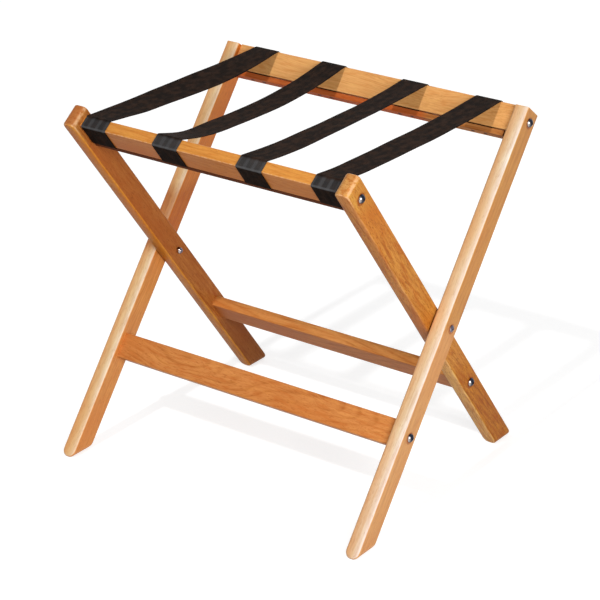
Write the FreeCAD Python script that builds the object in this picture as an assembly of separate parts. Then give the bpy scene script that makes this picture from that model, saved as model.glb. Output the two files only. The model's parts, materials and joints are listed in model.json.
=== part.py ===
"""Folding luggage bench in millimetres, +Z up.

Two crossed wooden frames turn on pivot bolts at their middle, and four webbing straps
join their top rails. The origin is on the floor, midway between the feet. X runs along
the pivot, and +Y is the rear.

Each frame is built upright about the pivot and then tilted: "across" is measured from
the frame's mid-plane towards the other frame's top, "along" from the pivot up the leg.
"""
import FreeCAD, Part
import math
import os

Vector = FreeCAD.Vector

# Frames
frame_width = 600.0            # over the outer legs' outer faces
pivot_height = 300.0
lean_angle = 37.8              # of each leg from the vertical, degrees

# Legs
leg_thickness = 25.5           # in X
leg_width = 40.0
leg_gap = 3.0                  # between an outer leg and its inner leg
inner_leg_overhang = 10.5      # of the upper end above the rail
outer_leg_shortfall = 2.0      # of the upper end below the rail's upper face
leg_edge_radius = 3.5          # of the long edges and the feet
sole_corner_share = 0.43       # of the thickness, for the corners beside toe and heel
inner_top_corner_radius = 8.0
outer_top_edge_radius = 1.0

# Top rails
rail_reach = 375.0             # from the pivot to the rail's upper face
rail_height = 44.0
rail_thickness = 20.5
rail_edge_radius = 2.0

# Stretchers
stretcher_drop = 162.0         # from the pivot down to the stretcher
stretcher_height = 43.5
stretcher_thickness = 20.0
stretcher_edge_radius = 2.0

# Webbing straps
strap_width = 48.0
strap_thickness = 1.4
strap_clearance = 0.3          # to the wood and the screws on every side
strap_side_gap = 1.5           # from an outer strap to the inner leg beside it
inner_strap_offset = 80.5      # from the middle of the bench to an inner strap's middle
strap_tail_setback = 3.0       # from the rail's inner face to the strap's cut end
strap_sags = {"strap_1": 6.0, "strap_2": 18.0, "strap_3": 6.5, "strap_4": 5.0}

# Battens that clamp the strap ends under the rails
batten_thickness = 9.0
batten_setback = 1.0           # from each wide face of the rail
batten_end_gap = 3.5           # to the leg
batten_edge_radius = 1.0

# Countersunk screws through the battens
screw_radius = 1.75
screw_head_radius = 3.5
screw_length = 25.0
screw_spacing = 24.0           # between the two screws of a strap end

# Domed frame bolts and their barrel nuts
bolt_radius = 3.0
bolt_length = 68.0             # under the head
bolt_head_radius = 7.2
bolt_head_height = 6.0
head_rim = 1.2                 # straight rim below each dome
socket_width = 4.0             # across flats
socket_depth = 1.6
nut_radius = 5.0
nut_length = 14.0
nut_distance = 35.0            # from the board's end to the nut's axis
nut_recess = 1.0               # below the board's face
bolt_clearance = 0.1           # radial, in wood and in the nuts

# Dowels
dowel_radius = 4.0
dowel_in_leg = 12.0
dowel_in_board = 20.0
dowel_offset = 14.0            # from the bolt's axis, along the leg

# Pivots
pivot_radius = 3.0
pivot_head_radius = 5.75
pivot_head_height = 3.6
pivot_clearance = 0.05         # radial running clearance
pivot_end_play = 0.1           # beside each turning leg
spacer_radius = 9.0
cap_nut_width = 10.0           # across flats
cap_nut_height = 5.0           # of the hexagon
cap_nut_dome_height = 4.2
cap_nut_wall = 2.0             # closed end beyond the bolt

# Worked out from the sizes above
lean_sine = math.sin(math.radians(lean_angle))
lean_cosine = math.cos(math.radians(lean_angle))
outer_seat_x = frame_width / 2
outer_board_x = outer_seat_x - leg_thickness
inner_seat_x = outer_board_x - leg_gap
inner_board_x = inner_seat_x - leg_thickness
sole_corner_radius = sole_corner_share * leg_thickness
inner_leg_reach = rail_reach + inner_leg_overhang
outer_leg_reach = rail_reach - outer_leg_shortfall
rail_low = rail_reach - rail_height
rail_middle = rail_reach - rail_height / 2
stretcher_high = -stretcher_drop
stretcher_low = stretcher_high - stretcher_height
stretcher_middle = stretcher_high - stretcher_height / 2
clamp_gap = strap_thickness + 2 * strap_clearance
batten_high = rail_low - clamp_gap
batten_low = batten_high - batten_thickness
outer_strap_offset = inner_board_x - strap_side_gap - strap_width / 2
strap_offsets = {
    "strap_1": -outer_strap_offset,
    "strap_2": -inner_strap_offset,
    "strap_3": inner_strap_offset,
    "strap_4": outer_strap_offset,
}
toward_other_frame = 1
away_from_other_frame = -1


# --- shapes shared by several pieces ---

def mirrored_in_x(shape):
    return shape.mirror(Vector(0, 0, 0), Vector(1, 0, 0))


def tilted_forward(shape):
    """Tilt an upright shape about the pivot, so that its top leans to the front."""
    tilted = shape.copy()
    tilted.rotate(Vector(0, 0, 0), Vector(1, 0, 0), lean_angle)
    tilted.translate(Vector(0, 0, pivot_height))
    return tilted


def straightened(shape):
    """Undo tilted_forward, for a shape that was built where it stands."""
    upright = shape.copy()
    upright.translate(Vector(0, 0, -pivot_height))
    upright.rotate(Vector(0, 0, 0), Vector(1, 0, 0), -lean_angle)
    return upright


def tilted_back(shape):
    """The mirror image of tilted_forward, for the frame whose top is at the rear."""
    return tilted_forward(shape).mirror(Vector(0, 0, 0), Vector(0, 1, 0))


def rounded_box(low, high, direction, radius, level=None):
    """A box between two corners, with its edges along one direction rounded.

    A level limits the rounding to the two edges at that Z.
    """
    size = high - low
    solid = Part.makeBox(size.x, size.y, size.z, low)
    chosen = []
    for edge in solid.Edges:
        is_along = abs(edge.tangentAt(edge.FirstParameter).dot(direction)) > 0.5
        if is_along and (level is None or math.isclose(edge.CenterOfMass.z, level, abs_tol=0.001)):
            chosen.append(edge)
    return solid.makeFillet(radius, chosen)


def board(half_length, thickness, low, high, edge_radius):
    """An upright board, centred across, with its long edges rounded."""
    low_corner = Vector(-half_length, -thickness / 2, low)
    high_corner = Vector(half_length, thickness / 2, high)
    return rounded_box(low_corner, high_corner, Vector(1, 0, 0), edge_radius)


def rod_in_x(radius, outer_x, inner_x, along):
    """A round bar along X, from outer_x inwards to inner_x."""
    return Part.makeCylinder(radius, outer_x - inner_x, Vector(inner_x, 0, along), Vector(1, 0, 0))


def hexagon_in_x(width, start_x, end_x, along):
    """A hexagonal prism along X, given by its width across flats."""
    radius = width / math.sqrt(3)
    corners = []
    for step in range(7):
        angle = math.radians(60 * step)
        corners.append(Vector(start_x, radius * math.cos(angle), along + radius * math.sin(angle)))
    return Part.Face(Part.makePolygon(corners)).extrude(Vector(end_x - start_x, 0, 0))


def dome_in_x(radius, height, base_x, along, direction):
    """A spherical cap on a flat base at base_x, bulging along direction in X."""
    sphere_radius = (radius ** 2 + height ** 2) / (2 * height)
    centre = Vector(base_x - direction * (sphere_radius - height), 0, along)
    base_latitude = math.degrees(math.asin((sphere_radius - height) / sphere_radius))
    return Part.makeSphere(sphere_radius, centre, Vector(direction, 0, 0), base_latitude, 90, 360)


def domed_bolt(shank_radius, length, head_radius, head_height, seat_x, along):
    """A bolt whose domed socket head sits at seat_x and whose shank runs inwards."""
    shank = rod_in_x(shank_radius, seat_x, seat_x - length, along)
    rim = rod_in_x(head_radius, seat_x + head_rim, seat_x, along)
    dome = dome_in_x(head_radius, head_height - head_rim, seat_x + head_rim, along, 1)
    socket = hexagon_in_x(socket_width, seat_x + head_height, seat_x + head_height - socket_depth, along)
    return shank.fuse([rim, dome]).removeSplitter().cut(socket)


# --- legs ---

def floor_along(across):
    """Where a line of the leg meets the floor, measured along the leg."""
    return -(pivot_height + across * lean_sine) / lean_cosine


def edges_at(shape, axis, level):
    """The edges of a shape that start and end at a level along X, Y or Z."""
    chosen = []
    for edge in shape.Edges:
        if all(math.isclose(getattr(vertex, axis), level, abs_tol=0.001) for vertex in edge.Vertexes):
            chosen.append(edge)
    return chosen


def narrow_face_edges(leg):
    return edges_at(leg, "Y", -leg_width / 2) + edges_at(leg, "Y", leg_width / 2)


def leg_blank(seat_x, reach):
    """A right leg with sharp edges, cut level at the floor, where it has rounded corners."""
    half_width = leg_width / 2
    corners = [
        Vector(seat_x, -half_width, reach),
        Vector(seat_x, half_width, reach),
        Vector(seat_x, half_width, floor_along(half_width)),
        Vector(seat_x, -half_width, floor_along(-half_width)),
    ]
    side = Part.Face(Part.makePolygon(corners + corners[:1]))
    around_leg = Vector(0, pivot_height + reach, 0)
    above_leg = Vector(0, 0, pivot_height + reach)
    floor_low = Vector(seat_x - leg_thickness, 0, 0) - around_leg
    floor_high = Vector(seat_x, 0, 0) + around_leg + above_leg
    sole_rounding = rounded_box(floor_low, floor_high, Vector(0, 1, 0), sole_corner_radius, 0)
    return side.extrude(Vector(-leg_thickness, 0, 0)).common(straightened(sole_rounding))


def outer_leg_blank():
    """The right outer leg before drilling. Its top end is cut square."""
    leg = leg_blank(outer_seat_x, outer_leg_reach)
    top_zone = outer_leg_reach - leg_edge_radius
    rounded = [edge for edge in narrow_face_edges(leg) if edge.CenterOfMass.z < top_zone]
    leg = leg.makeFillet(leg_edge_radius, rounded)
    return leg.makeFillet(outer_top_edge_radius, edges_at(leg, "Z", outer_leg_reach))


def inner_leg_blank():
    """The right inner leg before drilling. Its top end is rounded all round."""
    leg = leg_blank(inner_seat_x, inner_leg_reach)
    low_corner = Vector(inner_board_x, -leg_width / 2, floor_along(leg_width / 2))
    high_corner = Vector(inner_seat_x, leg_width / 2, inner_leg_reach)
    across = Vector(0, 1, 0)
    rounding = rounded_box(low_corner, high_corner, across, inner_top_corner_radius, inner_leg_reach)
    leg = leg.common(rounding)
    return leg.makeFillet(leg_edge_radius, narrow_face_edges(leg))


# --- joints between the boards and the legs ---

def frame_bolt(seat_x, along):
    return domed_bolt(bolt_radius, bolt_length, bolt_head_radius, bolt_head_height, seat_x, along)


def frame_bolt_hole(seat_x, along):
    tip_x = seat_x - bolt_length - bolt_clearance
    return rod_in_x(bolt_radius + bolt_clearance, seat_x, tip_x, along)


def barrel_nut_body(radius, length, seat_x, along, thickness, side):
    """A round bar across the board, from below its face on the given side."""
    nut_x = seat_x - leg_thickness - nut_distance
    mouth = side * thickness / 2
    return Part.makeCylinder(radius, length, Vector(nut_x, mouth, along), Vector(0, -side, 0))


def barrel_nut(seat_x, along, thickness, side):
    body = barrel_nut_body(nut_radius, nut_length + nut_recess, seat_x, along, thickness, side)
    recess = barrel_nut_body(nut_radius, nut_recess, seat_x, along, thickness, side)
    return body.cut([recess, frame_bolt_hole(seat_x, along)])


def barrel_nut_hole(seat_x, along, thickness, side):
    depth = nut_recess + nut_length + bolt_clearance
    return barrel_nut_body(nut_radius + bolt_clearance, depth, seat_x, along, thickness, side)


def dowel(seat_x, along):
    joint_x = seat_x - leg_thickness
    return rod_in_x(dowel_radius, joint_x + dowel_in_leg, joint_x - dowel_in_board, along + dowel_offset)


# --- battens and their screws ---

def screw_positions():
    """The X of every screw under one rail."""
    positions = []
    for offset in strap_offsets.values():
        positions += [offset - screw_spacing / 2, offset + screw_spacing / 2]
    return positions


def batten_screw(x):
    """A countersunk screw, flush with the batten's lower face."""
    base = Vector(x, 0, batten_low)
    head = Part.makeCone(screw_head_radius, screw_radius, screw_head_radius - screw_radius, base)
    shank = Part.makeCylinder(screw_radius, screw_length, base)
    return head.fuse(shank).removeSplitter()


def clamp_batten(half_length, screws):
    thickness = rail_thickness - 2 * batten_setback
    return board(half_length, thickness, batten_low, batten_high, batten_edge_radius).cut(screws)


# --- one frame ---

def frame_pieces(seat_x, leg, nut_side):
    """All pieces of one upright frame but its pivots, keyed by their kind."""
    board_x = seat_x - leg_thickness
    levels = [(rail_middle, rail_thickness), (stretcher_middle, stretcher_thickness)]
    bolts, nuts, dowels, holes = [], [], [], []
    for along, thickness in levels:
        bolts.append(frame_bolt(seat_x, along))
        nuts.append(barrel_nut(seat_x, along, thickness, nut_side))
        dowels.append(dowel(seat_x, along))
        holes.append(frame_bolt_hole(seat_x, along))
        holes.append(barrel_nut_hole(seat_x, along, thickness, nut_side))
    right_cuts = holes + dowels
    left_cuts = [mirrored_in_x(cut) for cut in right_cuts]
    screws = [batten_screw(x) for x in screw_positions()]
    rail = board(board_x, rail_thickness, rail_low, rail_reach, rail_edge_radius)
    stretcher = board(board_x, stretcher_thickness, stretcher_low, stretcher_high, stretcher_edge_radius)
    return {
        "leg": leg.cut(right_cuts),
        "rail": rail.cut(right_cuts + left_cuts + screws),
        "stretcher": stretcher.cut(right_cuts + left_cuts),
        "batten": clamp_batten(board_x - batten_end_gap, screws),
        "screws": Part.makeCompound(screws),
        "bolts": Part.makeCompound(bolts + [mirrored_in_x(bolt) for bolt in bolts]),
        "nuts": Part.makeCompound(nuts + [mirrored_in_x(nut) for nut in nuts]),
        "dowels": Part.makeCompound(dowels + [mirrored_in_x(peg) for peg in dowels]),
    }


# --- pivots ---

def pivot_hole(radial_clearance):
    return rod_in_x(pivot_radius + radial_clearance, outer_seat_x, inner_board_x, 0)


def pivot_shank_length():
    """From the outer leg's face through both legs, to the closed end of the cap nut."""
    nut_depth = cap_nut_height + cap_nut_dome_height - cap_nut_wall
    return outer_seat_x - inner_board_x + pivot_end_play + nut_depth


def pivot_bolt():
    length = pivot_shank_length()
    return domed_bolt(pivot_radius, length, pivot_head_radius, pivot_head_height, outer_seat_x, 0)


def pivot_spacer():
    """A washer on the outer leg that keeps the inner leg off it."""
    inner_x = inner_seat_x + pivot_end_play
    washer = rod_in_x(spacer_radius, outer_board_x, inner_x, 0)
    return washer.cut(rod_in_x(pivot_radius + pivot_clearance, outer_board_x, inner_x, 0))


def pivot_cap_nut():
    """A hexagonal cap nut whose dome points to the middle of the bench."""
    face_x = inner_board_x - pivot_end_play
    dome_x = face_x - cap_nut_height
    hexagon = hexagon_in_x(cap_nut_width, face_x, dome_x, 0)
    dome = dome_in_x(cap_nut_width / 2, cap_nut_dome_height, dome_x, 0, -1)
    bore = rod_in_x(pivot_radius, face_x, outer_seat_x - pivot_shank_length(), 0)
    return hexagon.fuse(dome).removeSplitter().cut(bore)


# --- straps ---

def front_point(across, along):
    """A point of the frame that leans to the front, in the plane X = 0."""
    y = across * lean_cosine - along * lean_sine
    z = pivot_height + across * lean_sine + along * lean_cosine
    return Vector(0, y, z)


def arc_about(centre, start_direction, end_direction, radius):
    """Three points of an arc: its start, middle and end."""
    middle_direction = (start_direction + end_direction).normalize()
    return [centre + direction * radius for direction in (start_direction, middle_direction, end_direction)]


def mirrored_in_y(point):
    return Vector(point.x, -point.y, point.z)


def strap_face_edges(distance, sag):
    """One face of a strap, at a distance from the rails, from its front tail to its rear one."""
    up = Vector(0, -lean_sine, lean_cosine)
    inward = Vector(0, lean_cosine, lean_sine)
    inset = rail_thickness / 2 - rail_edge_radius
    lower_centre = front_point(-inset, rail_low + rail_edge_radius)
    upper_centre = front_point(-inset, rail_reach - rail_edge_radius)
    last_centre = front_point(inset, rail_reach - rail_edge_radius)
    rise = (last_centre.y ** 2 - sag ** 2) / (2 * sag)
    hang_centre = Vector(0, 0, last_centre.z + rise)
    leaving = (hang_centre - last_centre).normalize()
    radius = rail_edge_radius + distance
    tail = front_point(rail_thickness / 2 - strap_tail_setback, rail_low - distance)
    bends = [
        arc_about(lower_centre, -up, -inward, radius),
        arc_about(upper_centre, -inward, up, radius),
        arc_about(last_centre, up, leaving, radius),
    ]
    edges = []
    start = tail
    for bend in bends:
        edges.append(Part.LineSegment(start, bend[0]).toShape())
        edges.append(Part.Arc(*bend).toShape())
        start = bend[2]
    mirrored = [edge.mirror(Vector(0, 0, 0), Vector(0, 1, 0)) for edge in edges]
    hang_radius = (hang_centre - last_centre).Length - radius
    lowest = hang_centre - Vector(0, 0, hang_radius)
    span = Part.Arc(start, lowest, mirrored_in_y(start)).toShape()
    return tail, edges + [span] + mirrored


def strap(name):
    """One strap: clamped below the front rail, over it, hanging across and round the rear rail."""
    under_tail, under_edges = strap_face_edges(strap_clearance, strap_sags[name])
    over_tail, over_edges = strap_face_edges(strap_clearance + strap_thickness, strap_sags[name])
    front_end = Part.LineSegment(under_tail, over_tail).toShape()
    rear_end = Part.LineSegment(mirrored_in_y(under_tail), mirrored_in_y(over_tail)).toShape()
    edges = Part.__sortEdges__(under_edges + over_edges + [front_end, rear_end])
    solid = Part.Face(Part.Wire(edges)).extrude(Vector(strap_width, 0, 0))
    solid.translate(Vector(strap_offsets[name] - strap_width / 2, 0, 0))
    for x in (strap_offsets[name] - screw_spacing / 2, strap_offsets[name] + screw_spacing / 2):
        base = Vector(x, 0, batten_high)
        hole = Part.makeCylinder(screw_radius + strap_clearance, clamp_gap, base)
        solid = solid.cut([tilted_forward(hole), tilted_back(hole)])
    return solid


# --- assembly ---

outer = frame_pieces(outer_seat_x, outer_leg_blank(), away_from_other_frame)
inner = frame_pieces(inner_seat_x, inner_leg_blank(), toward_other_frame)
outer_leg = tilted_back(outer["leg"].cut(pivot_hole(pivot_clearance)))
inner_leg = tilted_forward(inner["leg"].cut(pivot_hole(pivot_clearance)))
right_pivot = {
    "pivot_bolt": tilted_back(pivot_bolt()),
    "pivot_spacer": tilted_back(pivot_spacer()),
    "pivot_cap_nut": tilted_back(pivot_cap_nut()),
}

nodes = {
    "outer_leg_left": mirrored_in_x(outer_leg),
    "outer_leg_right": outer_leg,
    "rear_rail": tilted_back(outer["rail"]),
    "front_stretcher": tilted_back(outer["stretcher"]),
    "rear_clamp_batten": tilted_back(outer["batten"]),
    "outer_frame_bolts": tilted_back(outer["bolts"]),
    "outer_frame_barrel_nuts": tilted_back(outer["nuts"]),
    "outer_frame_dowels": tilted_back(outer["dowels"]),
    "rear_batten_screws": tilted_back(outer["screws"]),
    "inner_leg_left": mirrored_in_x(inner_leg),
    "inner_leg_right": inner_leg,
    "front_rail": tilted_forward(inner["rail"]),
    "rear_stretcher": tilted_forward(inner["stretcher"]),
    "front_clamp_batten": tilted_forward(inner["batten"]),
    "inner_frame_bolts": tilted_forward(inner["bolts"]),
    "inner_frame_barrel_nuts": tilted_forward(inner["nuts"]),
    "inner_frame_dowels": tilted_forward(inner["dowels"]),
    "front_batten_screws": tilted_forward(inner["screws"]),
}
for name, shape in right_pivot.items():
    nodes[name + "_right"] = shape
    nodes[name + "_left"] = mirrored_in_x(shape)
for name in strap_offsets:
    nodes[name] = strap(name)

os.makedirs("parts", exist_ok=True)
for name, shape in nodes.items():
    shape.exportStep("parts/" + name + ".step")
    volumes = [solid.Volume for solid in shape.Solids]
    print(f"{name}: {len(volumes)} solid(s), smallest {min(volumes):.1f} mm3, valid {shape.isValid()}")
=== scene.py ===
import json
import math
from collections import namedtuple

import bpy
import numpy as np
from mathutils import Matrix, Vector


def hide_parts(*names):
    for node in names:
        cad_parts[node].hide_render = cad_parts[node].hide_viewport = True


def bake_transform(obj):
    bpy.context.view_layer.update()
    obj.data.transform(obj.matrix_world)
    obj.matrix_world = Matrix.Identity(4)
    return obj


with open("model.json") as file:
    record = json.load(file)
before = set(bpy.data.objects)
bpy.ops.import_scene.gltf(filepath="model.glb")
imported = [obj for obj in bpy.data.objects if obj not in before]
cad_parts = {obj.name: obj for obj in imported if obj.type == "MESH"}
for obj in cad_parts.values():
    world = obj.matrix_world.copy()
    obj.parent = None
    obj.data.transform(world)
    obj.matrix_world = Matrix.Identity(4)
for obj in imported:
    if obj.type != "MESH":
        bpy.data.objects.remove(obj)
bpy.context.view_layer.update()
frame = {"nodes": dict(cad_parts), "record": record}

scene = bpy.context.scene
nodes = frame["nodes"]

# Sizes of the frames that the straps follow
pivot_height = frame["record"]["behaviour"]["joints"][0]["pos_m"][2]
lean_angle = math.radians(37.8)
rail_reach = 0.375             # from the pivot to a rail's upper face
rail_height = 0.044
rail_thickness = 0.0205
rail_edge_radius = 0.002
strap_width = 0.048
strap_thickness = 0.0014
strap_clearance = 0.0003       # between a strap and the rail that it lies on
strap_tail_setback = 0.003     # of its end from the rail's inner face, inside the clamp

# Camera
camera_sensor = 36.0           # mm, like the lens
camera_lens = 134.22
camera_azimuth = math.radians(35.5486)
camera_elevation = math.radians(23.7892)
camera_roll = math.radians(0.2232)
camera_distance = 3.6809
camera_target = Vector((0.00099, 0.01079, pivot_height - 0.03243))

# Light, as radiance on a white surface that faces it
sky_level = 0.20
key_level = 0.43
key_elevation = math.radians(50)
key_softness = math.radians(2.5)
fill_level = 0.76
fill_azimuth = math.radians(56)
fill_elevation = math.radians(20)
fill_distance = 2.6
fill_size = 1.2
back_level = 0.22
back_azimuth = math.radians(-160)
back_elevation = math.radians(35)
back_softness = math.radians(60)
sun_place = (0, 0, 3)          # of no effect, because a sun lights alike from anywhere

# Floor
floor_reach = 30.0             # from the middle to each side
floor_drop = 0.0004            # below the soles
floor_glow = 0.70              # whitens it for the camera and leaves the shadow
floor_grey = ((0.48, 0.48, 0.48, 1), (0.52, 0.52, 0.52, 1))


# --- node trees ---

def linear(red, green, blue):
    """A colour written as 0 to 255 display values, for a shader socket."""
    channels = []
    for value in (red, green, blue):
        share = value / 255
        channels.append(share / 12.92 if share <= 0.04045 else ((share + 0.055) / 1.055) ** 2.4)
    return (*channels, 1.0)


class Shader:
    """A material under construction, with short calls for the nodes it is made of."""

    def __init__(self, name):
        self.material = bpy.data.materials.new(name)
        self.material.use_nodes = True
        self.tree = self.material.node_tree
        self.surface = self.tree.nodes["Principled BSDF"]

    def put(self, node, inputs):
        for name, value in inputs.items():
            socket = node.inputs[name]
            if isinstance(value, bpy.types.NodeSocket):
                self.tree.links.new(value, socket)
            else:
                socket.default_value = value
        return node

    def add(self, kind, inputs, **settings):
        node = self.tree.nodes.new(kind)
        for name, value in settings.items():
            setattr(node, name, value)
        return self.put(node, inputs)

    def finish(self, inputs):
        self.put(self.surface, inputs)
        return self.material

    def coordinates(self, kind):
        return self.add("ShaderNodeTexCoord", {}).outputs[kind]

    def math(self, operation, first, second=0.0):
        return self.add("ShaderNodeMath", {0: first, 1: second}, operation=operation).outputs[0]

    def product(self, first, *others):
        for other in others:
            first = self.math("MULTIPLY", first, other)
        return first

    def raised(self, base, value, amount):
        """A base with an amount of the value above it."""
        return self.math("ADD", self.math("MULTIPLY", value, amount), base)

    def wave(self, value, pitch, phase=None):
        """The sine of a value, once round for every pitch."""
        angle = self.math("MULTIPLY", value, 2 * math.pi / pitch)
        if phase is not None:
            angle = self.math("ADD", angle, phase)
        return self.math("SINE", angle)

    def vector(self, operation, first, second=(0, 0, 0)):
        inputs = {0: first, 1: second}
        return self.add("ShaderNodeVectorMath", inputs, operation=operation).outputs[0]

    def length(self, vector):
        inputs = {0: vector}
        return self.add("ShaderNodeVectorMath", inputs, operation="LENGTH").outputs["Value"]

    def parts(self, vector):
        return self.add("ShaderNodeSeparateXYZ", {"Vector": vector}).outputs

    def noise(self, vector, scales, detail=2.0, output="Fac"):
        stretched = self.vector("MULTIPLY", vector, scales)
        inputs = {"Vector": stretched, "Scale": 1.0, "Detail": detail}
        return self.add("ShaderNodeTexNoise", inputs).outputs[output]

    def between(self, value, low, high):
        """0 below low, 1 above high and smooth in between."""
        inputs = {"Value": value, "From Min": low, "From Max": high}
        node = self.add("ShaderNodeMapRange", inputs, interpolation_type="SMOOTHSTEP")
        return node.outputs["Result"]

    def mix(self, factor, first, second, blend="MIX"):
        inputs = {0: factor, 6: first, 7: second}
        return self.add("ShaderNodeMix", inputs, data_type="RGBA", blend_type=blend).outputs[2]

    def tint(self, factor, colour, shares):
        """The colour with a share taken of each channel, as far as the factor says."""
        return self.mix(factor, colour, self.vector("MULTIPLY", colour, shares))

    def shade(self, factor, colour, tone):
        """The colour multiplied by a tone, as far as the factor says."""
        return self.mix(factor, colour, self.mix(1.0, colour, tone, "MULTIPLY"))

    def ramp(self, factor, dark, middle, pale):
        """From dark at 0 over the middle one at 0.5 to pale at 1."""
        node = self.add("ShaderNodeValToRGB", {"Fac": factor})
        elements = node.color_ramp.elements
        elements.new(0.5)
        for element, position, colour in zip(elements, (0.0, 0.5, 1.0), (dark, middle, pale)):
            element.position = position
            element.color = colour
        return node.outputs["Color"]

    def bump(self, height, distance, strength, under=None):
        inputs = {"Height": height, "Distance": distance, "Strength": strength}
        if under is not None:
            inputs["Normal"] = under
        return self.add("ShaderNodeBump", inputs).outputs[0]


# --- wood ---

grain_in_x = -math.pi / 2
ring_pitch = 0.0052
early_wood = (0.0, 0.22)       # shares of a growth ring: it pales over the first
late_wood = (0.62, 1.0)        # and darkens over the last
plain_factor = 0.46            # of wood without any figure, on the ramp from its dark to its pale
dash_strength = 0.38
pore_depth = 0.00012
crown_curve = 9.0              # of a leg's narrow faces, per metre
edge_wear_and_highlight_strength = 0.6          # how much paler the rounded edges are: oil rubbed off, and partly a painted highlight
handled_heights = (0.565, 0.59)  # above these the edges are bare, where hands hold the bench
front_highlight_across = (-0.024, 0.011)  # from a leg's middle: the painted highlight on its front rises between these
highlight_peak_across = (0.0, 0.010)   # and between these it is at its brightest
heads_on_legs = (              # place along the leg from the pivot, and radius
    (0.353, 0.0072), (0.0, 0.00575), (-0.18375, 0.0072),
)
head_shade_drop = 0.0008            # of the painted shade round a head, which hangs a little below it
head_shade_widths = (0.0040, 0.0014)  # round a head: of all the painted shade, and of its full strength
golden_softness = 0.012        # how far a batten's golden part fades at either side
gap_shade_start = 0.2675           # the X beyond which the rear batten is painted dark beside the leg: painted shade of the gap
gap_shade_softness = 0.0006
zone_softness = 0.015          # how far the tone of a stretch of a leg fades at either end
foot, crossing, top = -0.1, 0.30, 0.7  # heights that such a stretch starts or ends at
handled_tip = ("wide", 0.56, top, (1.05, 1.28, 1.50))

# How far a normal points along an axis, from where a face starts to count as facing that
# way to where it does in full
towards_front = (-0.35, -0.85)
towards_side = (0.5, 0.9)
towards_end = (0.80, 0.97)
off_every_axis = (0.985, 0.80)  # on the rounded edges

# Shares of a board's red, green and blue
deep_streak = (0.66, 0.52, 0.38)
pale_streak = (1.16, 1.26, 1.42)
red_dash = (0.86, 0.62, 0.40)
yellow_dash = (1.14, 1.24, 1.16)
reddish_patch = (1.0, 0.82, 0.62)
dark_pore = (0.55, 0.36, 0.22)
# painted shade round the bolt heads
head_shade_shares = (0.64, 0.44, 0.30)
# painted highlight on a leg's front, near its +X edge
front_highlight_shares = (1.02, 1.07, 1.32)
# rounded edges: worn, and partly a painted highlight along them
edge_wear_and_highlight = (1.10, 1.28, 1.60)
oiled_end = (0.82, 0.62, 0.50)

# Tones that are the same on every board
golden_tones = (linear(112, 58, 19), linear(174, 108, 55), linear(200, 138, 81))
# painted shade in the gap at the rear batten's end
gap_shade_tone = linear(52, 24, 12)
bare_tone = linear(228, 184, 140)


def shaded(colour, shares):
    return (*[min(channel * share, 1.0) for channel, share in zip(colour, shares)], 1.0)


Growth = namedtuple("Growth", "strayed paleness streaks pores relief")


def grown(shader, grain, contrast, figure, wander, arcs):
    """How a board has grown: its strayed grain, how pale it is, its streaks, pores and relief.

    Each noise has its scales across, through and along the grain.
    """
    drift = shader.noise(grain, (16, 16, 5), 1.0, "Color")
    drift = shader.vector("SUBTRACT", drift, (0.5, 0.5, 0.5))
    drift = shader.vector("MULTIPLY", drift, (wander, wander, 0.0))
    strayed = shader.vector("ADD", grain, drift)
    radius = shader.length(shader.vector("MULTIPLY", strayed, (1, 1, arcs)))
    ring = shader.math("FRACT", shader.math("DIVIDE", radius, ring_pitch))
    early = shader.between(ring, *early_wood)
    late = shader.between(ring, *late_wood)
    rings = shader.math("SUBTRACT", early, late)
    streaks = shader.noise(strayed, (520, 520, 9), 3.0)
    fine_streaks = shader.noise(strayed, (1500, 1500, 34), 1.0)
    broad_streaks = shader.noise(strayed, (150, 150, 6), 2.0)
    blotches = shader.noise(grain, (26, 26, 7), 2.0)
    pores = shader.between(shader.noise(strayed, (1100, 1100, 130), 0.0), 0.60, 0.74)
    weights = ((streaks, 0.7), (fine_streaks, 0.35), (broad_streaks, 0.55), (blotches, 0.6))
    paleness = shader.math("MULTIPLY", rings, figure * contrast)
    for part, weight in weights:
        centred = shader.math("SUBTRACT", part, 0.5)
        weighted = shader.math("MULTIPLY", centred, weight * contrast)
        paleness = shader.math("ADD", paleness, weighted)
    paleness = shader.math("ADD", paleness, plain_factor)
    relief = shader.math("SUBTRACT", shader.math("ADD", streaks, fine_streaks), pores)
    return Growth(strayed, paleness, streaks, pores, relief)


def figured(shader, grain, growth, middle, contrast):
    """Streaks, dashes and reddish patches of colour round a board's middle tone."""
    deep, pale = shaded(middle, deep_streak), shaded(middle, pale_streak)
    colour = shader.ramp(growth.paleness, deep, middle, pale)
    dashes = shader.noise(growth.strayed, (200, 200, 32), 2.0)
    for low, high, shares in ((0.50, 0.66, red_dash), (0.48, 0.34, yellow_dash)):
        here = shader.math("MULTIPLY", shader.between(dashes, low, high), dash_strength * contrast)
        colour = shader.tint(here, colour, shares)
    patches = shader.between(shader.noise(grain, (11, 11, 4), 1.0), 0.46, 0.78)
    return shader.mix(patches, colour, shaded(middle, reddish_patch))


def golden_beyond(shader, place, growth, colour, golden_from):
    """The colour turned golden beyond a place along X, and then painted dark at the end beside the
    leg, as shade of the gap.
    """
    golden = shader.ramp(growth.paleness, *golden_tones)
    for start, softness, other in (
        (golden_from, golden_softness, golden), (gap_shade_start, gap_shade_softness, gap_shade_tone),
    ):
        beyond = shader.between(shader.parts(place)["X"], start - softness, start + softness)
        colour = shader.mix(beyond, colour, other)
    return colour


def painted_shade_round_heads(shader, place, outer_face, tilt, colour):
    """The colour darkened round the domed heads on a leg's outer face: painted contact shade."""
    for along_leg, head_radius in heads_on_legs:
        head_y = along_leg * math.sin(tilt)
        head_z = pivot_height + along_leg * math.cos(tilt)
        from_head = shader.vector("SUBTRACT", place, (0, head_y, head_z - head_shade_drop))
        from_head = shader.length(shader.vector("MULTIPLY", from_head, (0, 1, 1)))
        near_head = shader.between(from_head, *[head_radius + width for width in head_shade_widths])
        colour = shader.tint(shader.math("MULTIPLY", near_head, outer_face), colour, head_shade_shares)
    return colour


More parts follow.
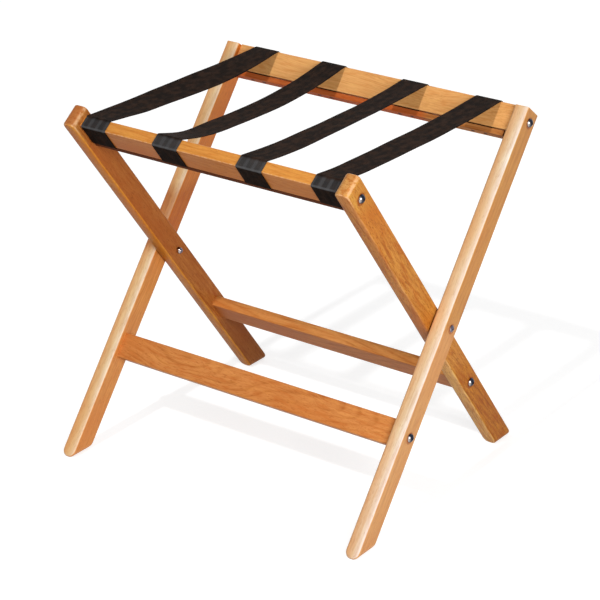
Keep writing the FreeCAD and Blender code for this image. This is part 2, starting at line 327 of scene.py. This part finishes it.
def worn_and_highlit_edges(shader, place, sides, colour):
    """The colour paler on the rounded edges, worn and partly a painted highlight, and bare where
    hands hold them.
    """
    flattest = shader.math("MAXIMUM", shader.math("MAXIMUM", sides[0], sides[1]), sides[2])
    worn_and_highlit = shader.math("MULTIPLY", shader.between(flattest, *off_every_axis), edge_wear_and_highlight_strength)
    colour = shader.tint(worn_and_highlit, colour, edge_wear_and_highlight)
    patchy = shader.between(shader.noise(place, (190, 190, 190), 2.0), 0.30, 0.62)
    handled = shader.between(shader.parts(place)["Z"], *handled_heights)
    return shader.mix(shader.product(worn_and_highlit, patchy, handled), colour, bare_tone)


def wood(
    name, tilt, turn, seed, tone, contrast=1.0, figure=0.16, wander=0.022, arcs=0.055,
    fleck=0.2, gloss=0.08, crown_x=None, front=None, zones=(), ends=oiled_end, golden_from=None,
):
    """Oiled beech whose grain runs along the piece, with growth rings, streaks and flecks.

    figure is the strength of the growth rings, wander how far they stray, arcs how fast they
    change along the grain and fleck the strength of the short dark pores. The shares of the
    colour are front for the face to the front, zones for a stretch of a face between two
    heights, and ends for end grain; some front shares and zones darken a face as painted shade.
    crown_x is the middle of a leg whose narrow faces are sanded a little round; its front one
    pales towards +X as a painted highlight, and painted shade lies round the heads of its bolts.
    golden_from is the X beyond which a batten turns golden, up to its end beside the leg,
    which is painted dark as the shade of the gap.
    """
    shader = Shader(name)
    place = shader.coordinates("Object")
    inputs = {"Vector": place, "Rotation": (tilt, turn, 0), "Location": seed}
    grain = shader.add("ShaderNodeMapping", inputs).outputs[0]
    growth = grown(shader, grain, contrast, figure, wander, arcs)
    middle = linear(*tone)
    colour = figured(shader, grain, growth, middle, contrast)
    if golden_from is not None:
        colour = golden_beyond(shader, place, growth, colour, golden_from)
    pores = shader.math("MULTIPLY", growth.pores, fleck)
    colour = shader.mix(pores, colour, shaded(middle, dark_pore))

    inputs = {"Vector": shader.coordinates("Normal"), "Rotation": (tilt, turn, 0)}
    turned_normal = shader.add("ShaderNodeMapping", inputs, vector_type="VECTOR").outputs[0]
    facing = shader.parts(turned_normal)
    sides = [shader.math("ABSOLUTE", facing[axis]) for axis in "XYZ"]
    to_front = shader.between(facing["Y"], *towards_front)
    faces = {"front": to_front, "wide": shader.between(sides[0], *towards_side)}
    normal = shader.bump(growth.relief, pore_depth, 0.35)
    if crown_x is not None:
        from_middle = shader.math("SUBTRACT", shader.parts(place)["X"], crown_x)
        outwards = shader.math("MULTIPLY", facing["X"], math.copysign(1.0, crown_x))
        outer_face = shader.between(outwards, *towards_side)
        colour = painted_shade_round_heads(shader, place, outer_face, tilt, colour)
        # Painted highlight: a leg's front face pales towards +X, most of all near its +X edge
        highlight_peak = shader.math("MULTIPLY", shader.between(from_middle, *highlight_peak_across), to_front)
        colour = shader.tint(highlight_peak, colour, front_highlight_shares)
        front_highlight = shader.between(from_middle, *front_highlight_across)
        to_front = shader.math("MULTIPLY", front_highlight, to_front)
        crown = shader.product(from_middle, from_middle, -crown_curve)
        normal = shader.bump(crown, 1.0, 1.0, normal)
    if front is not None:
        colour = shader.tint(to_front, colour, front)
    height = shader.parts(place)["Z"]
    for face, low, high, shares in zones:
        above = shader.between(height, low - zone_softness, low + zone_softness)
        below = shader.between(height, high + zone_softness, high - zone_softness)
        colour = shader.tint(shader.product(above, below, faces[face]), colour, shares)
    colour = shader.tint(shader.between(sides[2], *towards_end), colour, ends)
    return shader.finish({
        "Base Color": worn_and_highlit_edges(shader, place, sides, colour),
        "Roughness": shader.raised(0.34, growth.streaks, 0.16),
        "Specular IOR Level": gloss,
        "Normal": normal,
    })


outer_tilt, inner_tilt = lean_angle, -lean_angle
outer_leg_x, inner_leg_x = 0.28725, 0.25875  # from the middle of the bench to that of a leg
outer_leg_choices = {"contrast": 0.8, "fleck": 0.3, "gloss": 0.3}
wood_pieces = {                # tilt, turn, seed, tone, and what else differs
    "outer_leg_right": (
        outer_tilt, 0, (0.052, 0.031, 0.2), (209, 147, 84),
        {
            **outer_leg_choices, "crown_x": outer_leg_x, "front": (1.03, 1.74, 3.7),
            "zones": [
                ("wide", crossing, top, (0.87, 0.80, 0.52)),
                ("front", foot, 0.15, (0.95, 0.87, 0.83)),
            ],
        },
    ),
    "outer_leg_left": (
        outer_tilt, 0, (0.335, -0.046, 1.1), (219, 144, 73),
        {
            **outer_leg_choices, "crown_x": -outer_leg_x, "front": (0.99, 1.76, 3.85),
            "zones": [
                ("wide", crossing, top, (0.97, 0.76, 0.44)),
                # painted shade on both faces just above the crossing
                ("wide", crossing, 0.39, (0.78, 0.64, 0.35)),
                ("front", crossing, 0.39, (0.67, 0.42, 0.26)),
            ],
        },
    ),
    "rear_rail": (
        outer_tilt, grain_in_x, (0.35, 0.052, 2.3), (220, 158, 93),
        {"figure": 0.14, "wander": 0.09, "fleck": 0.1},
    ),
    "front_stretcher": (
        outer_tilt, grain_in_x, (0.075, 0.214, 0.13), (192, 119, 60),
        {"contrast": 1.2, "figure": 0.28, "wander": 0.05, "arcs": 0.16, "fleck": 0.35},
    ),
    "inner_leg_right": (
        inner_tilt, 0, (-0.21, 0.03, 4.4), (190, 121, 48),
        {
            "contrast": 2.0, "fleck": 0.7, "crown_x": inner_leg_x, "front": (0.97, 0.98, 1.4),
            "zones": [
                ("wide", foot, 0.20, (0.88, 0.75, 0.42)),
                ("front", foot, 0.22, (1.35, 1.75, 2.0)),
                handled_tip,
            ],
            "ends": (1.0, 1.2, 2.1),
        },
    ),
    "inner_leg_left": (
        inner_tilt, 0, (0.30, 0.04, 5.0), (172, 101, 44),
        {
            "contrast": 1.6, "fleck": 0.5, "crown_x": -inner_leg_x, "front": (1.55, 1.76, 0.85),
            "zones": [("wide", foot, 0.13, (0.75, 0.73, 0.70)), handled_tip],
            "ends": (1.12, 1.30, 1.9),
        },
    ),
    "front_rail": (
        inner_tilt, grain_in_x, (0.36, 0.043, 6.1), (209, 138, 62),
        # its front shares darken its downward front face: painted shade
        {"figure": 0.2, "wander": 0.04, "fleck": 0.3, "front": (0.77, 0.67, 0.76)},
    ),
    "rear_stretcher": (
        inner_tilt, grain_in_x, (0.2, 0.037, 7.2), (199, 130, 68),
        # its front shares darken its front face: painted shade
        {"contrast": 1.2, "figure": 0.25, "wander": 0.04, "front": (0.85, 0.73, 0.64)},
    ),
    "rear_clamp_batten": (
        outer_tilt, grain_in_x, (0.31, 0.061, 8.3), (187, 95, 46),
        {"contrast": 1.3, "gloss": 0.01, "golden_from": 0.118},
    ),
    # its tone is darkened far below the rear batten's: painted shade under the front rail
    "front_clamp_batten": (
        inner_tilt, grain_in_x, (0.33, 0.045, 9.1), (94, 50, 27), {"gloss": 0.01},
    ),
}


# --- metal, plastic and dowels ---

scratch_depth = 0.00002
hazy = (0.86, 0.87, 0.9)       # shares of the steel's tone where it is dull
dark_reflection_range = (-0.95, -0.42)  # the normal's Y, from bright at the first to the painted dark reflection
matt_depth = 0.00003
matt_grain = (1.4, 1.4, 1.4)


def metal(name, tone, roughness, dark_reflection_tone=None):
    """Steel with fine scratches.

    A dark tone is painted on the faces turned away from the front, as a painted dark reflection.
    """
    shader = Shader(name)
    place = shader.coordinates("Object")
    haze = shader.noise(place, (900, 900, 900), 2.0)
    scratches = shader.noise(place, (300, 4000, 4000), 2.0)
    colour = shader.mix(haze, linear(*tone), shaded(linear(*tone), hazy))
    if dark_reflection_tone is not None:
        # Painted dark reflection on the faces turned towards the rear
        towards_rear = shader.parts(shader.coordinates("Normal"))["Y"]
        dark_reflection = shader.between(towards_rear, *dark_reflection_range)
        colour = shader.mix(dark_reflection, colour, linear(*dark_reflection_tone))
    return shader.finish({
        "Base Color": colour,
        "Metallic": 1.0,
        "Roughness": shader.raised(roughness, haze, 0.08),
        "Normal": shader.bump(scratches, scratch_depth, 0.2),
    })


def matt(name, tone):
    shader = Shader(name)
    grains = shader.noise(shader.coordinates("Object"), (2500, 2500, 2500), 1.0)
    return shader.finish({
        "Base Color": shader.mix(grains, linear(*tone), shaded(linear(*tone), matt_grain)),
        "Roughness": shader.raised(0.55, grains, 0.15),
        "Specular IOR Level": 0.05,
        "Normal": shader.bump(grains, matt_depth, 0.3),
    })


# --- webbing ---

rib_pitch = 0.0016
pick_pitch = 0.0012
rib_share, crossing_share = 0.6, 0.4  # of the relief of the weave
weave_depth = 0.0002
band_pitch = 0.0150
band_wander = 2.5                # how far, in radians, the worn bands stray
strap_length = 0.61              # about, from tail to tail
face_end = 0.0602                # along the strap from its tail: the front of the rail ends here
crease = 0.0625                  # where it bends over the rail's upper edge
crease_widths = (0.0022, 0.0004)  # at either side: of all the painted highlight on the crease, and of its full strength
top_end = 0.0830                 # where it leaves the rail
top_fade = 0.006                 # how far before that the wear and painted sheen of the top end
middle_straps = (0.16, 0.12)     # X between which the wear and painted sheen turn into those of the middle straps


def webbing():
    """Dark woven webbing: lengthwise ribs crossed by picks, rubbed grey over the rails, partly as a
    painted sheen.
    """
    shader = Shader("woven_webbing")
    map_place = shader.parts(shader.add("ShaderNodeUVMap", {}, uv_map="webbing").outputs["UV"])
    across, along = map_place["X"], map_place["Y"]
    from_tail = shader.math("MINIMUM", along, shader.math("SUBTRACT", strap_length, along))
    place = shader.coordinates("Object")
    ribs = shader.wave(across, rib_pitch)
    picks = shader.wave(along, pick_pitch)
    crossings = shader.product(ribs, picks, crossing_share)
    relief = shader.math("ADD", shader.math("MULTIPLY", ribs, rib_share), crossings)
    mottling = shader.noise(place, (110, 60, 110), 3.0)
    fuzz = shader.noise(place, (900, 300, 900), 2.0)
    wander = shader.math("MULTIPLY", shader.noise(place, (60, 20, 20), 1.0), band_wander)
    bands = shader.between(shader.wave(across, band_pitch, wander), -0.3, 1.0)
    past_face = shader.between(from_tail, face_end, crease)
    before_end = shader.between(from_tail, top_end, top_end - top_fade)
    over_rail = shader.math("MULTIPLY", past_face, before_end)
    # Painted highlight along the crease over the rail's upper edge
    from_crease = shader.math("ABSOLUTE", shader.math("SUBTRACT", from_tail, crease))
    crease_highlight = shader.between(from_crease, *crease_widths)
    spots = shader.between(mottling, 0.36, 0.68)
    colour = shader.mix(spots, linear(30, 22, 18), linear(59, 41, 31))
    # Painted shade: the strap's front face on the rail is darker
    on_face = shader.between(from_tail, crease, face_end)
    colour = shader.shade(on_face, colour, linear(196, 186, 182))
    # Grey over the rails: wear, and partly a painted sheen
    across_bench = shader.math("ABSOLUTE", shader.parts(place)["X"])
    in_middle = shader.between(across_bench, *middle_straps)
    grey = shader.mix(in_middle, linear(70, 70, 71), linear(84, 83, 83))
    wear_and_highlights = (                     # where it is, how strong and of which tone
        (over_rail, 0.62, grey),
        (shader.math("MULTIPLY", bands, over_rail), 0.52, linear(98, 99, 101)),
        (bands, 0.12, linear(62, 52, 46)),
        (crease_highlight, 0.55, linear(112, 112, 114)),
        (shader.between(fuzz, 0.5, 0.8), 0.25, linear(74, 58, 49)),
    )
    for where, strength, tone in wear_and_highlights:
        colour = shader.mix(shader.math("MULTIPLY", where, strength), colour, tone)
    # painted shade in the hollows of the weave
    colour = shader.shade(shader.between(relief, 0.9, -0.9), colour, linear(150, 150, 150))
    return shader.finish({
        "Base Color": colour,
        "Roughness": shader.raised(0.5, fuzz, 0.2),
        "Specular IOR Level": 0.01,
        "Normal": shader.bump(relief, weave_depth, 0.7),
    })


# How far the left and the right edge hang below the line between the rails' inner edges,
# in mm, at shares of the span from the front. Strap 1 is twisted and strap 2 hangs lowest.
strap_hangs = {
    "strap_1": {
        "left": [(0.20, 0.5), (0.60, 0.6), (0.80, 1.4)],
        "right": [(0.10, 3.4), (0.18, 7.0), (0.30, 9.0), (0.44, 11.3), (0.64, 13.5), (0.84, 8.0)],
    },
    "strap_2": {
        "left": [(0.04, 3.8), (0.12, 12.0), (0.30, 16.0), (0.52, 18.0), (0.70, 15.8), (0.88, 7.4)],
        "right": [(0.08, 6.5), (0.20, 13.5), (0.32, 15.6), (0.52, 18.3), (0.68, 16.3), (0.86, 8.6)],
    },
    "strap_3": {
        "left": [(0.12, 3.6), (0.36, 6.6), (0.56, 7.6), (0.70, 7.0), (0.86, 4.0)],
        "right": [(0.08, 2.3), (0.18, 4.4), (0.50, 4.9), (0.66, 4.2), (0.85, 2.2)],
    },
    "strap_4": {
        "left": [(0.08, 2.0), (0.20, 3.4), (0.36, 4.3), (0.64, 4.7), (0.85, 2.6)],
        "right": [(0.12, 2.9), (0.24, 4.6), (0.36, 5.1), (0.62, 5.9), (0.85, 3.2)],
    },
}
strap_middles = {                # X at the front rail and at the rear rail
    "strap_1": (-0.2185, -0.2208),
    "strap_2": (-0.0768, -0.0818),
    "strap_3": (0.0835, 0.0802),
    "strap_4": (0.2212, 0.2205),
}
top_face_lift = 0.001            # the hangs are those of the upper face, and the grid lies below it
straight_points = (5, 14, 8)     # of a strap's line, before each bend round the front rail
bend_points = (7, 9, 8)          # round each bend
span_points = 121                # from rail to rail

# Across a strap, from each edge
selvedge_places = (0.0, 0.0003, 0.0008, 0.0016)
flat_start = 0.0035
flat_columns = 19
selvedge_round = 0.0009          # how far in the rounding of the edge reaches
selvedge_thinnest = 0.08         # the square of its least share of the thickness

# Unevenness of the free span, and the lengths of its waves per radian
ripple_height = 0.00016
long_ripple = 0.031
short_ripple = 0.017
cross_ripple = 0.02
ripple_shift = 1.7               # in radians, from each strap to the next
edge_lift = 0.0004


def smooth_curve(points, at):
    """Values at each place of a smooth curve through the points, in order of place."""
    places = np.array([point[0] for point in points])
    values = np.array([point[1] for point in points])
    slopes = np.gradient(values, places)
    index = np.clip(np.searchsorted(places, at) - 1, 0, len(places) - 2)
    step = places[index + 1] - places[index]
    share = (at - places[index]) / step
    square, cube = share ** 2, share ** 3
    level = (2 * cube - 3 * square + 1) * values[index]
    rise = (cube - 2 * square + share) * step * slopes[index]
    next_level = (3 * square - 2 * cube) * values[index + 1]
    next_rise = (cube - square) * step * slopes[index + 1]
    return (level + rise) + (next_level + next_rise)


def front_point(across, along):
    """Y and Z of a point of the frame that leans to the front."""
    y = across * math.cos(lean_angle) - along * math.sin(lean_angle)
    z = pivot_height + across * math.sin(lean_angle) + along * math.cos(lean_angle)
    return np.array([y, z])


def bend(centre, first, second, radius, end_angle, count):
    """Points of an arc that starts in the first direction and turns towards the second."""
    angles = np.linspace(0, end_angle, count)[:, None]
    return centre + radius * (np.cos(angles) * first + np.sin(angles) * second)


def wrap(leaving_angle):
    """The strap's middle surface from its tail under the front rail to where it leaves the rail."""
    up = np.array([-math.sin(lean_angle), math.cos(lean_angle)])
    inward = np.array([math.cos(lean_angle), math.sin(lean_angle)])
    distance = strap_clearance + strap_thickness / 2
    radius = rail_edge_radius + distance
    inset = rail_thickness / 2 - rail_edge_radius
    rail_low = rail_reach - rail_height
    bends = (                    # centre, directions that it starts in and turns to, angle
        (front_point(-inset, rail_low + rail_edge_radius), -up, -inward, math.pi / 2),
        (front_point(-inset, rail_reach - rail_edge_radius), -inward, up, math.pi / 2),
        (front_point(inset, rail_reach - rail_edge_radius), up, inward, lean_angle + leaving_angle),
    )
    runs = [front_point(rail_thickness / 2 - strap_tail_setback, rail_low - distance)[None]]
    for straight, count, (centre, first, second, angle) in zip(straight_points, bend_points, bends):
        arc = bend(centre, first, second, radius, angle, count)
        runs += [np.linspace(runs[-1][-1], arc[0], straight)[1:-1], arc]
    return np.concatenate(runs)


def strap_line(hang):
    """Y and Z along one line of a strap, and the share of the span at each point."""
    rough_span = 2 * abs(front_point(rail_thickness / 2, rail_reach)[0])
    middle = [(place, drop / 1000 + top_face_lift) for place, drop in hang]
    shares = np.linspace(0, 1, span_points)
    drops = smooth_curve([(0.0, 0.0)] + middle + [(1.0, 0.0)], shares)
    step = shares[1] * rough_span
    front = wrap(math.atan2(drops[1], step))
    rear = wrap(math.atan2(drops[-2], step))[::-1] * (-1, 1)
    straight = np.linspace(front[-1], rear[0], len(shares))
    straight[:, 1] -= drops
    line = np.concatenate([front, straight[1:-1], rear])
    span_share = np.concatenate([np.zeros(len(front)), shares[1:-1], np.ones(len(rear))])
    return line, span_share


def unit(vectors):
    return vectors / np.linalg.norm(vectors, axis=-1, keepdims=True)


def strap_surface(name, across, seed):
    """The grid of points in a strap's middle, its normals and the length along it."""
    left, span_share = strap_line(strap_hangs[name]["left"])
    right, _ = strap_line(strap_hangs[name]["right"])
    share_across = (across / strap_width)[None, :, None]
    grid_yz = left[:, None, :] * (1 - share_across) + right[:, None, :] * share_across
    front_x, rear_x = strap_middles[name]
    middle_x = front_x + (rear_x - front_x) * span_share
    grid_x = middle_x[:, None] + (across - strap_width / 2)[None, :]
    grid = np.concatenate([grid_x[:, :, None], grid_yz], axis=2)
    steps = np.linalg.norm(np.diff(grid[:, len(across) // 2], axis=0), axis=1)
    along = np.concatenate([[0.0], np.cumsum(steps)])
    normals = unit(np.cross(np.gradient(grid, axis=1), np.gradient(grid, axis=0)))
    freedom = (np.sin(np.pi * span_share) ** 0.5)[:, None]
    slanting_waves = np.sin(along[:, None] / long_ripple + seed + across[None, :] / cross_ripple)
    short_waves = np.sin(along[:, None] / short_ripple + 2 * seed)
    ripple = ripple_height * (slanting_waves + short_waves) * freedom
    crown = edge_lift * (2 * across / strap_width - 1) ** 2 * freedom
    return grid + normals * (ripple + crown)[:, :, None], normals, along


def band_faces(rows, columns):
    """Faces of a closed band, whose points are an upper grid and then a lower one."""
    below = rows * columns
    upper = np.arange(below).reshape(rows, columns)
    lower = upper + below
    faces = []
    for row in range(rows - 1):
        for column in range(columns - 1):
            a, b = upper[row, column], upper[row, column + 1]
            c, d = upper[row + 1, column + 1], upper[row + 1, column]
            faces += [(a, b, c, d), (a + below, d + below, c + below, b + below)]
        faces.append((upper[row, 0], upper[row + 1, 0], lower[row + 1, 0], lower[row, 0]))
        faces.append((upper[row, -1], lower[row, -1], lower[row + 1, -1], upper[row + 1, -1]))
    for column in range(columns - 1):
        near, far = column, column + 1
        faces.append((upper[0, near], lower[0, near], lower[0, far], upper[0, far]))
        faces.append((upper[-1, near], upper[-1, far], lower[-1, far], lower[-1, near]))
    return [[int(point) for point in face] for face in faces]


def strap(name, material, seed):
    """One strap as a closed band with soft selvedges, its UV map in metres across and along it."""
    edge = np.array(selvedge_places)
    flat = np.linspace(flat_start, strap_width - flat_start, flat_columns)
    across = np.concatenate([edge, flat, strap_width - edge[::-1]])
    into_edge = (1 - np.minimum(across, strap_width - across) / selvedge_round).clip(0)
    thickness_share = np.sqrt(np.clip(1 - into_edge ** 2, selvedge_thinnest, 1))
    half_depth = strap_thickness / 2 * thickness_share
    middle, normals, along = strap_surface(name, across, seed)
    depth = normals * half_depth[None, :, None]
    rows, columns = middle.shape[:2]
    points = np.concatenate([(middle + depth).reshape(-1, 3), (middle - depth).reshape(-1, 3)])
    mesh = bpy.data.meshes.new(name + "_webbing")
    mesh.from_pydata(points.tolist(), [], band_faces(rows, columns))
    mesh.polygons.foreach_set("use_smooth", [True] * len(mesh.polygons))
    corner_points = np.empty(len(mesh.loops), dtype=np.int32)
    mesh.loops.foreach_get("vertex_index", corner_points)
    corner_points %= rows * columns
    places = np.stack([across[corner_points % columns], along[corner_points // columns]], axis=1)
    mesh.uv_layers.new(name="webbing").data.foreach_set("uv", places.astype(np.float32).ravel())
    mesh.materials.append(material)
    piece = bpy.data.objects.new(name + "_webbing", mesh)
    scene.collection.objects.link(piece)
    # The blend ends well inside the rails, so that the straps keep their form round them
    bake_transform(piece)
    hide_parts(name)


# --- floor, light and camera ---

def background_rays(shader_tree):
    """1 for the rays that see the background: the camera's, and those through metal and glass."""
    path = shader_tree.nodes.new("ShaderNodeLightPath")
    total = None
    for name in ("Is Camera Ray", "Is Glossy Ray", "Is Transmission Ray"):
        if total is None:
            total = path.outputs[name]
            continue
        larger = shader_tree.nodes.new("ShaderNodeMath")
        larger.operation = "MAXIMUM"
        shader_tree.links.new(total, larger.inputs[0])
        shader_tree.links.new(path.outputs[name], larger.inputs[1])
        total = larger.outputs[0]
    return total


def make_world():
    world = bpy.data.worlds.new("studio")
    scene.world = world
    world.use_nodes = True
    tree = world.node_tree
    background = tree.nodes["Background"]
    background.inputs["Color"].default_value = (1, 1, 1, 1)
    level = tree.nodes.new("ShaderNodeMapRange")
    tree.links.new(background_rays(tree), level.inputs["Value"])
    level.inputs["To Min"].default_value = sky_level
    level.inputs["To Max"].default_value = 1.0
    tree.links.new(level.outputs["Result"], background.inputs["Strength"])


def make_floor():
    mesh = bpy.data.meshes.new("floor")
    corners = [(-1, -1), (1, -1), (1, 1), (-1, 1)]
    places = [(x * floor_reach, y * floor_reach, 0) for x, y in corners]
    mesh.from_pydata(places, [], [(0, 1, 2, 3)])
    floor = bpy.data.objects.new("floor", mesh)
    floor.location.z = -floor_drop
    scene.collection.objects.link(floor)
    shader = Shader("pale_floor")
    grains = shader.noise(shader.coordinates("Object"), (60, 60, 60), 2.0)
    shader.finish({
        "Base Color": shader.mix(grains, *floor_grey),
        "Roughness": 0.9,
        "Specular IOR Level": 0.0,
        "Emission Color": (1, 1, 1, 1),
        "Emission Strength": shader.math("MULTIPLY", background_rays(shader.tree), floor_glow),
    })
    mesh.materials.append(shader.material)


def direction(azimuth, elevation):
    """Towards an azimuth from -Y to +X and an elevation above the horizon."""
    reach = math.cos(elevation)
    return Vector((math.sin(azimuth) * reach, -math.cos(azimuth) * reach, math.sin(elevation)))


def place_lamp(lamp, towards, position):
    lamp_object = bpy.data.objects.new(lamp.name, lamp)
    lamp_object.rotation_mode = "QUATERNION"
    lamp_object.rotation_quaternion = towards.to_track_quat("Z", "Y")
    lamp_object.location = position
    lamp_object.visible_camera = False
    scene.collection.objects.link(lamp_object)


def make_sun(name, level, towards, softness):
    lamp = bpy.data.lights.new(name, "SUN")
    lamp.energy = level * math.pi
    lamp.angle = softness
    place_lamp(lamp, towards, sun_place)


def make_panel(name, level, towards, distance, size):
    """A square soft light at a distance from the middle of the bench."""
    lamp = bpy.data.lights.new(name, "AREA")
    lamp.size = size
    lamp.energy = level * (math.pi * distance) ** 2
    place_lamp(lamp, towards, Vector((0, 0, pivot_height)) + towards * distance)


def make_camera():
    lens = bpy.data.cameras.new("camera")
    lens.sensor_width = camera_sensor
    lens.lens = camera_lens
    camera = bpy.data.objects.new("camera", lens)
    back = direction(camera_azimuth, camera_elevation)
    right = Vector((math.cos(camera_azimuth), math.sin(camera_azimuth), 0))
    up = back.cross(right)
    rolled_right = right * math.cos(camera_roll) + up * math.sin(camera_roll)
    rolled_up = up * math.cos(camera_roll) - right * math.sin(camera_roll)
    turn = Matrix((rolled_right, rolled_up, back)).transposed().to_4x4()
    camera.matrix_world = Matrix.Translation(camera_target + back * camera_distance) @ turn
    scene.collection.objects.link(camera)
    scene.camera = camera


# --- the bench ---

def dress(node_names, material):
    for name in node_names:
        for material_slot in nodes[name].material_slots:
            material_slot.material = material


make_camera()
make_world()
make_floor()
make_sun("key", key_level, direction(0.0, key_elevation), key_softness)
make_sun("back", back_level, direction(back_azimuth, back_elevation), back_softness)
make_panel("fill", fill_level, direction(fill_azimuth, fill_elevation), fill_distance, fill_size)

for name, (tilt, turn, seed, tone, choices) in wood_pieces.items():
    dress([name], wood(name + "_wood", tilt, turn, seed, tone, **choices))
polished = metal("polished_steel", (184, 175, 170), 0.14, (40, 45, 58))
dress(["outer_frame_bolts", "inner_frame_bolts"], polished)
pivot_steel = metal("pivot_steel", (196, 186, 180), 0.14, (100, 94, 106))
dress(
    ["pivot_bolt_right", "pivot_bolt_left", "pivot_cap_nut_right", "pivot_cap_nut_left"],
    pivot_steel,
)
zinc = metal("zinc_steel", (190, 192, 196), 0.35)
dress(["outer_frame_barrel_nuts", "inner_frame_barrel_nuts"], zinc)
dress(["rear_batten_screws", "front_batten_screws"], matt("black_steel", (30, 28, 27)))
dress(["pivot_spacer_right", "pivot_spacer_left"], matt("spacer_plastic", (38, 36, 36)))
peg_wood = wood("dowel_wood", 0.0, grain_in_x, (0.4, 0.3, 11.0), (214, 172, 120))
dress(["outer_frame_dowels", "inner_frame_dowels"], peg_wood)

woven = webbing()
for count, name in enumerate(strap_hangs):
    strap(name, woven, ripple_shift * count)

scene.view_settings.view_transform = "Standard"
